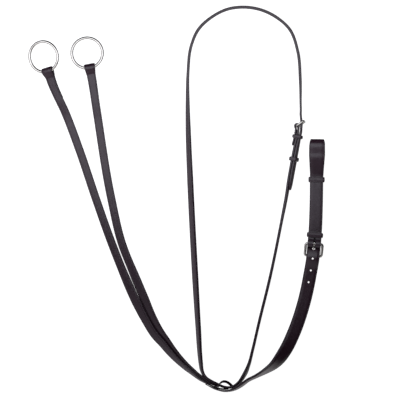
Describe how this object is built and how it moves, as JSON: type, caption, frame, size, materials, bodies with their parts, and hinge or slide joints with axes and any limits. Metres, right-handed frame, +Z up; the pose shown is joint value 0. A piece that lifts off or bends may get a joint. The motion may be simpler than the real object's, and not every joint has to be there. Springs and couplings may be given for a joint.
{
  "type": "running martingale",
  "caption": "Black leather running martingale laid flat: buckled neck strap, fork straps ending in rings, chest strap with adjustable buckle and girth loop.",
  "frame": {"origin": "middle of the flat layout, on the surface it lies on", "axes": "+Z up from the surface, +Y from the strap junction towards the top of the neck strap, +X from the rings towards the girth loop"},
  "size_m": [0.4451, 0.5788, 0.0237],
  "materials": {
    "strap_leather": "smooth waxed black leather, satin",
    "nickel": "polished nickel plate"
  },
  "bodies": {
    "chest": {"chest_strap": "strap_leather", "girth_strap": "strap_leather", "chest_fixed_keeper": "strap_leather", "fork_strap_left": "strap_leather", "fork_strap_right": "strap_leather", "junction_loop": "strap_leather"},
    "neck": {"neck_strap": "strap_leather", "neck_fixed_keeper": "strap_leather"},
    "ring_left": {"ring_left": "nickel"},
    "ring_right": {"ring_right": "nickel"},
    "neck_frame": {"neck_buckle_frame": "nickel"},
    "neck_tongue": {"neck_buckle_tongue": "nickel"},
    "chest_frame": {"chest_buckle_frame": "nickel"},
    "chest_tongue": {"chest_buckle_tongue": "nickel"},
    "neck_keeper": {"neck_sliding_keeper": "strap_leather"},
    "girth_keeper": {"girth_loop_keeper": "strap_leather"}
  },
  "joints": [
    {"name": "ring_left_swing", "type": "hinge", "parent": "chest", "child": "ring_left", "pos_m": [-0.19301, 0.19175, 0.01247], "axis": [0.8816, 0.2569, 0.396], "range_deg": [-140, 140]},
    {"name": "ring_right_swing", "type": "hinge", "parent": "chest", "child": "ring_right", "pos_m": [-0.1302, 0.19725, 0.0061], "axis": [0.983, 0.1837, 0], "range_deg": [-140, 140]},
    {"name": "neck_strap_slip", "type": "hinge", "parent": "chest", "child": "neck", "pos_m": [0.073, -0.25025, 0.008], "axis": [0, 0, 1], "range_deg": [-1, 1]},
    {"name": "neck_buckle_pivot", "type": "hinge", "parent": "neck", "child": "neck_frame", "pos_m": [0.18009, 0.10988, 0.00994], "axis": [0.0746, -0.0115, -0.9971], "range_deg": [0, 4]},
    {"name": "neck_tongue_pivot", "type": "hinge", "parent": "neck_frame", "child": "neck_tongue", "pos_m": [0.18009, 0.10988, 0.00994], "axis": [0.0746, -0.0115, -0.9971], "range_deg": [0, 4]},
    {"name": "neck_keeper_slide", "type": "slide", "parent": "neck", "child": "neck_keeper", "axis": [-0.18, -0.9837, 0], "range_m": [-0.004, 0.004]},
    {"name": "chest_buckle_pivot", "type": "hinge", "parent": "chest", "child": "chest_frame", "pos_m": [0.2061, -0.06675, 0.0122], "axis": [-0.9958, 0.0917, 0], "range_deg": [-4, 0]},
    {"name": "chest_tongue_pivot", "type": "hinge", "parent": "chest_frame", "child": "chest_tongue", "pos_m": [0.2061, -0.06675, 0.0122], "axis": [-0.9958, 0.0917, 0], "range_deg": [-4, 0]},
    {"name": "girth_keeper_slide", "type": "slide", "parent": "chest", "child": "girth_keeper", "axis": [0.0166, 0.9999, 0], "range_m": [-0.02, 0]}
  ]
}
